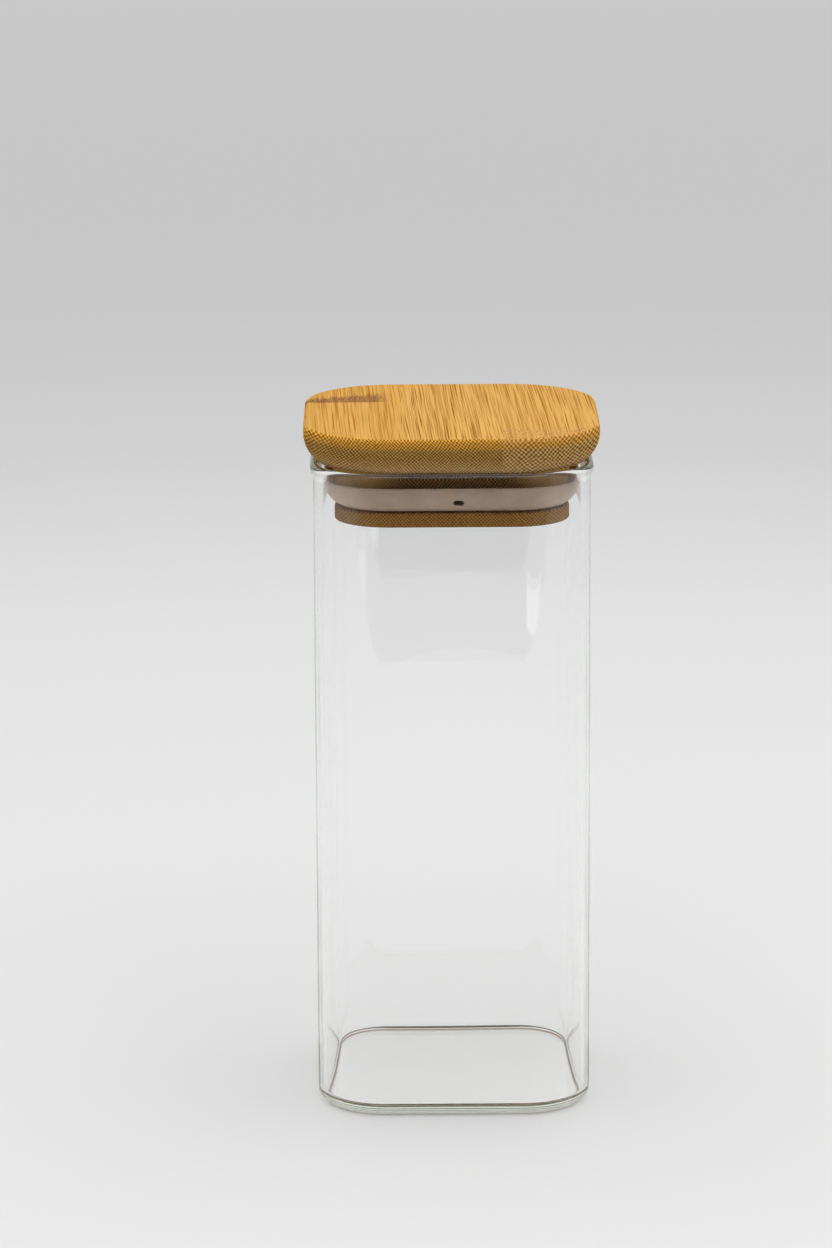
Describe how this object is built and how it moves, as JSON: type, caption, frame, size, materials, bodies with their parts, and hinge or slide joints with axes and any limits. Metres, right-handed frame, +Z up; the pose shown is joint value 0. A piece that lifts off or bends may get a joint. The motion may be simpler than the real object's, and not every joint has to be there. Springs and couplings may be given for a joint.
{
  "type": "glass spice jar with bamboo lid",
  "caption": "Tall square glass jar with rounded corners, closed by a bamboo lid whose plug carries a silicone seal; the lid lifts straight off.",
  "frame": {"origin": "middle of the underside of the glass, on the surface that the jar stands on", "axes": "+Z up out of the mouth, -Y towards the front, which the air slot in the seal faces, +X to the right seen from the front"},
  "size_m": [0.066, 0.066, 0.1562],
  "materials": {
    "glass": "clear, fire-polished, faint green at the edges",
    "bamboo_left": "satin oiled bamboo, straight grain with a dark node",
    "bamboo_centre": "satin oiled bamboo, straight grain",
    "bamboo_right": "satin oiled bamboo, straight grain",
    "bamboo_plug": "milled bamboo, darker and less polished than the cap",
    "silicone": "soft translucent silicone"
  },
  "bodies": {
    "jar": {"glass_jar": "glass"},
    "lid": {"lid_strip_left": "bamboo_left", "lid_strip_centre": "bamboo_centre", "lid_strip_right": "bamboo_right", "plug_strip_left": "bamboo_plug", "plug_strip_centre": "bamboo_plug", "plug_strip_right": "bamboo_plug", "seal_ring": "silicone"}
  },
  "joints": [
    {"name": "lid_lift", "type": "slide", "parent": "jar", "child": "lid", "axis": [0, 0, 1], "range_m": [0, 0.045]}
  ]
}
